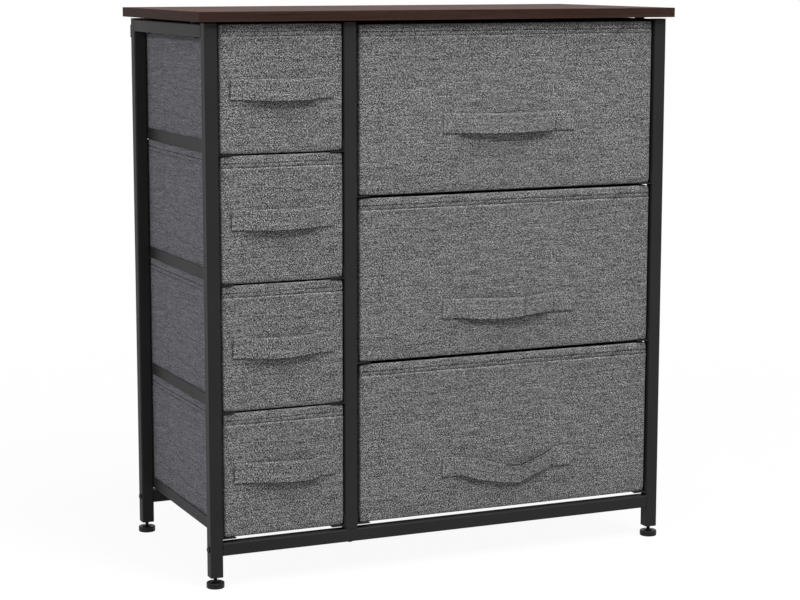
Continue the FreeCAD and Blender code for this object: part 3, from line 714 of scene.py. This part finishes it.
STRAP_HEIGHT, STRAP_STEP = 32.5 * MM, 1.6 * MM
SEWN_THICK, LOOSE_THICK = 1.5 * MM, 2.7 * MM
FULLY_LOOSE = 3 * MM  # how far off the bin a strap has its loose thickness
STRAP_END = 1.2 * MM  # how far in from the left end the thread is
# The folded edges of a strap's face: how proud they are, how far in from the edge, how wide.
EDGE_RISE, EDGE_IN, EDGE_WIDTH = 0.35 * MM, 1.6 * MM, 1.3 * MM
# How far the strap sinks in at a seam, how wide that is, and half of a seam's length.
SEAM_SINK, SEAM_WIDTH, SEAM_HALF = 0.7 * MM, 1.3 * MM, 14 * MM
# The cloth's ruffle: how high it is, and how long along the strap and across it.
RUFFLE, RUFFLE_ALONG, RUFFLE_ACROSS = 0.25 * MM, 0.02, 0.03

# How each strap hangs between its seams: its left and right tab in mm, and rows of a place, from
# -1 at the left seam to 1 at the right, how far it stands off there in mm, how far its upper and
# lower edges drop in mm, and how much further out its upper edge is than its lower one in mm.
STRAPS = {
    "small_drawer_1": (20, 23, (
        (-1, 0, 0, 0, 0), (-0.8, 3.4, 0, 0.6, 0), (-0.4, 7.6, 0.2, 1.9, 0),
        (0.2, 8.8, 0.9, 2.4, 0), (0.7, 6.4, 1.0, 2.1, 0), (0.88, 2.6, 0.4, 0.8, 0),
        (1, 0, 0, 0, 0))),
    "small_drawer_2": (20, 23, (
        (-1, 0, 0, 0, 0), (-0.8, 3.8, 0, 0.5, 0), (-0.35, 8.0, 0.4, 1.4, 0.4),
        (0.1, 8.8, 0.9, 1.5, 0.4), (0.55, 7.4, 1.2, 0.9, 0), (0.85, 3.0, 0.4, 0.2, 0),
        (1, 0, 0, 0, 0))),
    "small_drawer_3": (20, 23, (
        (-1, 0, 0, 0, 0), (-0.75, 4.8, 0.3, 0.9, 0), (-0.2, 8.6, 1.4, 2.5, 0.5),
        (0.25, 8.4, 1.5, 2.4, 0.5), (0.65, 5.4, 0.7, 0.5, 0), (1, 0, 0, 0, 0))),
    "small_drawer_4": (20, 23, (
        (-1, 0, 0, 0, 0), (-0.86, 2.6, 0, -0.3, 0), (-0.4, 7.0, 0.2, 1.6, 0.8),
        (0.2, 8.8, 1.0, 3.5, 1.0), (0.62, 8.0, 2.0, 3.4, 1.0), (0.88, 3.4, 0.8, 1.2, 0),
        (1, 0, 0, 0, 0))),
    "large_drawer_1": (22, 33.5, (
        (-1, 0, 0, 0, 0), (-0.8, 3.6, 0.8, 0.5, 0), (-0.4, 7.8, 1.2, 1.6, 0),
        (0, 8.8, 1.4, 1.8, 0), (0.5, 7.8, 1.4, 1.5, 0), (0.82, 3.4, 1.0, 0.8, 0),
        (1, 0, 0, 0, 0))),
    "large_drawer_2": (22, 33.5, (
        (-1, 0, 0, 0, 0), (-0.87, 2.2, 0.1, -0.2, 0), (-0.62, 4.4, 1.0, 3.4, 0),
        (-0.04, 7.9, 3.0, 4.7, 0), (0.2, 8.9, 3.6, 3.6, 0), (0.32, 9.3, 3.8, 2.5, 0),
        (0.4, 8.4, 2.6, 2.2, 0), (0.58, 6.2, 1.5, 1.5, 0), (0.8, 3.4, 0.5, -0.6, 0),
        (1, 0, 0, 0, 0))),
    "large_drawer_3": (22, 33.5, (
        (-1, 0, 0, 0, 0), (-0.87, 2.0, 0.6, -0.6, 0.5), (-0.57, 5.0, 5.0, 8.2, 1.5),
        (-0.13, 6.6, 16.4, 15.6, 2.0), (0.2, 7.0, 19.0, 19.3, 2.4),
        (0.32, 7.0, 18.4, 19.0, 2.6), (0.48, 6.6, 14.2, 13.6, 2.9),
        (0.66, 5.2, 9.2, 8.8, 3.0), (0.86, 2.6, 3.6, 3.2, 1.6), (1, 0, 0, 0, 0))),
}


def between_rows(rows, at):
    """A table's values at a place, on a smooth curve through its rows, level at its ends."""
    if not rows[0][0] < at < rows[-1][0]:
        return [0.0] * (len(rows[0]) - 1)
    number = max(item for item, row in enumerate(rows[:-1]) if row[0] <= at)
    before, after = rows[number], rows[number + 1]
    span = after[0] - before[0]
    part = (at - before[0]) / span

    def slope(item, column):
        if item in (0, len(rows) - 1):
            return 0.0
        ahead, behind = rows[item + 1], rows[item - 1]
        return (ahead[column] - behind[column]) / (ahead[0] - behind[0])

    values = []
    for column in range(1, len(before)):
        rise = part * part * (3 - 2 * part)
        leave = part * (1 - part) ** 2 * span * slope(number, column)
        reach = part * part * (part - 1) * span * slope(number + 1, column)
        values.append(before[column] + (after[column] - before[column]) * rise + leave + reach)
    return values


def strap_outline():
    """Places round a strap's cross-section: how far out, from 0 at its back to 1 at its face,
    and up from its middle. They start at the lower end of the back."""
    half, edge, rows = STRAP_HEIGHT / 2, LOOSE_THICK / 2, 12
    span = STRAP_HEIGHT - LOOSE_THICK
    back = [(0.0, -span / 2 + span * step / rows) for step in range(rows + 1)]
    face = [(1.0, -up) for _, up in back]
    turn = [math.radians(angle) for angle in (30, 60, 90, 120, 150)]
    top = [((1 - math.cos(angle)) / 2, half - edge + edge * math.sin(angle)) for angle in turn]
    bottom = [((1 + math.cos(angle)) / 2, -half + edge - edge * math.sin(angle))
              for angle in turn]
    return back + top + face + bottom


def handle_strap(name):
    """Fabric strap sewn to the bin's front at both ends. Gives the lines of its seams, which
    hold it where it leaves the bin, and at its left end."""
    low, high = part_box(name + "_handle_strap")
    left_tab, right_tab, rows = STRAPS[name]
    left_seam, right_seam = low.x + left_tab * MM, high.x - right_tab * MM
    middle_z = high.z - STRAP_HEIGHT / 2
    outline = strap_outline()

    def place(x, out, up):
        across = (2 * x - left_seam - right_seam) / (right_seam - left_seam)
        off, top_drop, bottom_drop, lean = (value * MM for value in between_rows(rows, across))
        share = up / STRAP_HEIGHT + 0.5
        loose = min(off / FULLY_LOOSE, 1.0)
        thick = SEWN_THICK + (LOOSE_THICK - SEWN_THICK) * loose
        from_edge = STRAP_HEIGHT / 2 - abs(up) - EDGE_IN
        edge = EDGE_RISE * math.exp(-(from_edge / EDGE_WIDTH) ** 2)
        from_seam = min(abs(x - left_seam), abs(x - right_seam))
        sunk = SEAM_SINK * math.exp(-(from_seam / SEAM_WIDTH) ** 2)
        drop = bottom_drop + (top_drop - bottom_drop) * share
        ruffle = RUFFLE * loose * noise.noise(
            Vector((x / RUFFLE_ALONG, up / RUFFLE_ACROSS, len(name))))
        off += lean * (share - 0.5) + ruffle + out * (thick + edge - sunk)
        return Vector((x, high.y - max(off, 0.0), middle_z + up - drop))

    count = round((high.x - low.x) / STRAP_STEP)
    stations = [low.x + (high.x - low.x) * step / count for step in range(count + 1)]
    rings = [[place(x, out, up) for out, up in outline] for x in stations]
    around = running_length([Vector((out * LOOSE_THICK, up))
                             for out, up in outline + outline[:1]])
    material = STRAP_LINENS[STRAP_MARKS.get(name, "plain")]
    piece = loft(name + "_strap", rings, [material],
                 cloth=lambda row, number: (stations[row], around[number]))
    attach(piece, name)
    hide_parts(name + "_handle_strap")
    return [[place(x, 1.0, step / 10 * SEAM_HALF) for step in range(-10, 11)]
            for x in (low.x + STRAP_END, left_seam, right_seam)]


# ---------------------------------------------------------------- stitches

HEM_PITCH, HEM_STITCH = 4.1 * MM, 2.9 * MM
LARGE_HEM_THREAD, SMALL_HEM_THREAD = 0.8 * MM, 0.5 * MM
STRAP_PITCH, STRAP_STITCH, STRAP_THREAD = 2.8 * MM, 2.3 * MM, 0.55 * MM


def stitch_rows():
    """Stitches along every edge path of a mesh."""
    tree = bpy.data.node_groups.new("stitch_rows", "GeometryNodeTree")
    sockets = [("Paths", "INPUT", "NodeSocketGeometry"), ("Pitch", "INPUT", "NodeSocketFloat"),
               ("Stitch length", "INPUT", "NodeSocketFloat"),
               ("Thread radius", "INPUT", "NodeSocketFloat"),
               ("Thread", "INPUT", "NodeSocketMaterial"),
               ("Stitches", "OUTPUT", "NodeSocketGeometry")]
    for label, way, kind in sockets:
        tree.interface.new_socket(label, in_out=way, socket_type=kind)
    given = add(tree, "NodeGroupInput").outputs
    paths = add(tree, "GeometryNodeMeshToCurve", {"Mesh": given["Paths"]})
    spaced = add(tree, "GeometryNodeResampleCurve", {"Curve": paths.outputs[0],
                                                     "Length": given["Pitch"]}, mode="LENGTH")
    bead = add(tree, "GeometryNodeMeshUVSphere", {"Segments": 6, "Rings": 4, "Radius": 1.0})
    half = calc(tree, "MULTIPLY", given["Stitch length"], 0.5)
    size = add(tree, "ShaderNodeCombineXYZ", {0: half, 1: given["Thread radius"],
                                              2: given["Thread radius"]})
    stitch = add(tree, "GeometryNodeTransform", {"Geometry": bead.outputs[0],
                                                 "Scale": size.outputs[0]})
    along = add(tree, "FunctionNodeAlignRotationToVector",
                {"Vector": add(tree, "GeometryNodeInputTangent").outputs[0]}, axis="X")
    placed = add(tree, "GeometryNodeInstanceOnPoints", {
        "Points": spaced.outputs[0], "Instance": stitch.outputs[0],
        "Rotation": along.outputs[0]})
    real = add(tree, "GeometryNodeRealizeInstances", {0: placed.outputs[0]})
    painted = add(tree, "GeometryNodeSetMaterial", {"Geometry": real.outputs[0],
                                                    "Material": given["Thread"]})
    tree.links.new(painted.outputs[0], add(tree, "NodeGroupOutput").inputs[0])
    return tree


STITCH_ROWS = stitch_rows()


def grown(name, paths, tree, **inputs):
    """A plain mesh object of what a node tree makes along paths of places."""
    mesh = bmesh.new()
    for path, closed in paths:
        points = [mesh.verts.new(place) for place in path]
        for before, after in zip(points, points[1:] + (points[:1] if closed else [])):
            mesh.edges.new((before, after))
    source = new_piece(name + "_paths", mesh, [])
    modifier = source.modifiers.new("grow", "NODES")
    modifier.node_group = tree
    for item in tree.interface.items_tree:
        key = item.name.replace(" ", "_")
        if item.in_out == "INPUT" and key in inputs:
            modifier[item.identifier] = inputs[key]
    graph = bpy.context.evaluated_depsgraph_get()
    data = bpy.data.meshes.new_from_object(source.evaluated_get(graph))
    data.name = name
    piece = bpy.data.objects.new(name, data)
    bpy.context.scene.collection.objects.link(piece)
    bpy.data.objects.remove(source)
    for face in data.polygons:
        face.use_smooth = True
    return piece


def sewing(name, hem_line, seams):
    """Thread round a bin's hem, and across its strap."""
    hem_thread = LARGE_HEM_THREAD if name in LARGE_DRAWERS else SMALL_HEM_THREAD
    rows = (("_stitches", [(hem_line, True)], HEM_PITCH, HEM_STITCH, hem_thread),
            ("_strap_stitches", [(seam, False) for seam in seams], STRAP_PITCH, STRAP_STITCH,
             STRAP_THREAD))
    for ending, paths, pitch, length, radius in rows:
        piece = grown(name + ending, paths, STITCH_ROWS, Pitch=pitch, Stitch_length=length,
                      Thread_radius=radius, Thread=THREAD)
        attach(piece, name)


# ---------------------------------------------------------------- levelling feet

# A disc's side from the bottom up, as how far out of its radius and how high, and the shallow
# ring in its top, as radius and how high above the top, all in mm.
DISC_RIM = ((-1.3, 0.0), (-0.5, 0.2), (-0.1, 0.7), (0.0, 1.4), (0.0, 3.9), (-0.35, 4.3),
            (0.0, 4.7), (0.0, 7.3), (-0.2, 8.1), (-0.7, 8.6), (-1.4, 8.8))
DISC_RING = ((9.5, 0), (9.1, -0.3), (8.6, -0.3), (8.2, 0), (3.1, 0))
DISC_SIDES = 48
# The stem's thread, as pitch and radii, and its hexagon.
STEM_PITCH, STEM_CREST, STEM_ROOT = 1.0 * MM, 2.95 * MM, 2.4 * MM
STEM_SIDES, ROWS_PER_TURN = 24, 6
HEX_ACROSS, HEX_HIGH = 12 * MM, 1.8 * MM


def ring_round(centre, sides, height, reach):
    """Places round an upright axis. reach gives how far from it a place is, by its angle."""
    turns = [2 * math.pi * side / sides for side in range(sides)]
    return [Vector((centre.x + reach(angle) * math.cos(angle),
                    centre.y + reach(angle) * math.sin(angle), height)) for angle in turns]


def foot_disc(corner):
    """Thick disc with rounded rims, a parting line round its side and a shallow ring on top."""
    low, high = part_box(corner + "_foot_pad")
    centre, radius, top = (low + high) / 2, (high.x - low.x) / 2, high.z
    profile = [(radius + out * MM, height * MM) for out, height in DISC_RIM]
    profile += [(reach * MM, top + rise * MM) for reach, rise in DISC_RING]
    rings = [ring_round(centre, DISC_SIDES, height, lambda angle: reach)
             for reach, height in profile]
    piece = loft(corner + "_foot_disc", rings, [PLASTIC])
    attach(piece, corner + "_foot")
    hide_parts(corner + "_foot_pad")


def foot_screw(corner):
    """Low hexagon and threaded stem."""
    low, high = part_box(corner + "_foot_stem")
    centre = (low + high) / 2
    hex_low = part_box(corner + "_foot_pad")[1].z
    hex_top = hex_low + HEX_HIGH
    collar = HEX_ACROSS / math.sqrt(3)

    def six_sided(angle):
        flat = math.cos(math.pi / 6) / math.cos((angle % (math.pi / 3)) - math.pi / 6)
        return radius * flat if radius > STEM_CREST else radius

    def threaded(angle):
        phase = (height / STEM_PITCH - angle / (2 * math.pi)) % 1.0
        return STEM_ROOT + (STEM_CREST - STEM_ROOT) * (1 - abs(2 * phase - 1))

    rings = []
    for radius, height in (
            (STEM_CREST, low.z), (STEM_CREST, hex_low), (collar - 0.2 * MM, hex_low),
            (collar, hex_low + 0.2 * MM), (collar, hex_top - 0.5 * MM),
            (collar - 0.6 * MM, hex_top), (STEM_ROOT, hex_top)):
        rings.append(ring_round(centre, STEM_SIDES, height, six_sided))
    levels = round((high.z - hex_top) / STEM_PITCH * ROWS_PER_TURN)
    for level in range(1, levels + 1):
        height = hex_top + (high.z - hex_top) * level / levels
        rings.append(ring_round(centre, STEM_SIDES, height, threaded))
    piece = loft(corner + "_foot_screw_stem", rings, [ZINC])
    piece.data.set_sharp_from_angle(angle=math.radians(35))
    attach(piece, corner + "_foot_screw")
    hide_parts(corner + "_foot_stem")


# ---------------------------------------------------------------- the frame's own nodes

NODE_FINISHES = {
    "top_board": LAMINATE, "top_board_spacers": RUBBER, "post_top_caps": PLASTIC,
    "frame_bolts": ZINC, "top_board_screws": ZINC, "rear_strap_screws": ZINC,
    "threaded_inserts": PLASTIC,
}


def paint_nodes():
    """Gives each node of the frame its finish: powder coat, unless it has one of its own."""
    for name in frame["record"]["behaviour"]["bodies"]["frame"]:
        node = frame["nodes"][name]
        if not node.material_slots:
            node.data.materials.append(None)
        for slot in node.material_slots:
            slot.material = NODE_FINISHES.get(name, POWDER_COAT)


# ---------------------------------------------------------------- floor, light and camera

FLOOR_REACH = 9
FLOOR_BOUNCE, FLOOR_SEEN = (0.5, 0.5, 0.5, 1), (0.95, 0.95, 0.95, 1)
SURROUNDINGS = 0.26
# Each lamp's name, place, aim, side in metres and watts.
LAMPS = (("key_light", (0.9, -2.8, 3.9), (0, -0.1, 0.55), 1.1, 103),
         ("top_light", (0, -1.2, 4.4), (0, -0.1, 0.45), 1.2, 92),
         ("left_fill", (-4.0, -1.8, 2.4), (0, 0, 0.45), 0.5, 58))
LENS_MM, SENSOR_MM, LENS_SHIFT = 94.61, 36, (0.0157, -0.02)
CAMERA_PLACE, CAMERA_DOWN, CAMERA_TURN = (-1.371, -3.13, 0.935), 8.56, -23.396


def background_share(tree):
    """1 for a ray that sees the background, straight or through gloss or glass, else 0."""
    rays = add(tree, "ShaderNodeLightPath").outputs
    seen = calc(tree, "MAXIMUM", rays["Is Camera Ray"], rays["Is Glossy Ray"])
    return calc(tree, "MAXIMUM", seen, rays["Is Transmission Ray"])


def floor():
    """Pale floor that shows white, with a faint shadow under the dresser."""
    mesh = bmesh.new()
    bmesh.ops.create_grid(mesh, x_segments=1, y_segments=1, size=FLOOR_REACH)
    piece = new_piece("pale_floor", mesh, [])
    material = bpy.data.materials.new("pale_floor")
    material.use_nodes = True
    tree = material.node_tree
    tree.nodes.clear()
    seen = background_share(tree)
    away = add(tree, "ShaderNodeVectorMath", {0: object_place(tree)}, operation="LENGTH")
    share = add(tree, "ShaderNodeMapRange", {
        "Value": away.outputs["Value"], "From Min": 0.6, "From Max": 2.2, "To Min": 0.94,
        "To Max": 1.0}).outputs[0]
    pale = blend_colours(tree, seen, FLOOR_BOUNCE, FLOOR_SEEN)
    diffuse = add(tree, "ShaderNodeBsdfDiffuse", {"Color": pale})
    white = add(tree, "ShaderNodeEmission", {"Color": (1, 1, 1, 1), "Strength": 1.0})
    mixed = add(tree, "ShaderNodeMixShader", {0: calc(tree, "MULTIPLY", seen, share),
                                              1: diffuse.outputs[0], 2: white.outputs[0]})
    tree.links.new(mixed.outputs[0], add(tree, "ShaderNodeOutputMaterial").inputs[0])
    piece.data.materials.append(material)


def surroundings():
    """White surroundings to look at and to mirror, which light the object less."""
    world = bpy.data.worlds.new("white_studio")
    bpy.context.scene.world = world
    world.use_nodes = True
    tree = world.node_tree
    back = tree.nodes["Background"]
    back.inputs["Color"].default_value = (1, 1, 1, 1)
    tree.links.new(blend_numbers(tree, background_share(tree), SURROUNDINGS, 1.0),
                   back.inputs["Strength"])


def softbox(name, place, aim, size, power):
    """Square lamp."""
    lamp = bpy.data.lights.new(name, "AREA")
    lamp.shape = "SQUARE"
    lamp.size = size
    lamp.energy = power
    holder = bpy.data.objects.new(name, lamp)
    holder.location = place
    holder.rotation_euler = (Vector(aim) - Vector(place)).to_track_quat("-Z", "Y").to_euler()
    bpy.context.scene.collection.objects.link(holder)


def camera():
    """Camera in front of the dresser, a little to its left, looking slightly down."""
    lens = bpy.data.cameras.new("camera")
    lens.lens = LENS_MM
    lens.sensor_width = SENSOR_MM
    lens.shift_x, lens.shift_y = LENS_SHIFT
    lens.clip_end = 50
    holder = bpy.data.objects.new("camera", lens)
    holder.location = CAMERA_PLACE
    holder.rotation_euler = (math.radians(90 - CAMERA_DOWN), 0, math.radians(CAMERA_TURN))
    bpy.context.scene.collection.objects.link(holder)
    bpy.context.scene.camera = holder


for drawer in DRAWERS:
    hem = fabric_bin(drawer)
    wall_boards(drawer)
    bottom_board(drawer)
    sewing(drawer, hem, handle_strap(drawer))
for corner_name in CORNERS:
    foot_disc(corner_name)
    foot_screw(corner_name)
paint_nodes()
floor()
surroundings()
for lamp_settings in LAMPS:
    softbox(*lamp_settings)
camera()
scene = bpy.context.scene
scene.view_settings.view_transform = "Standard"
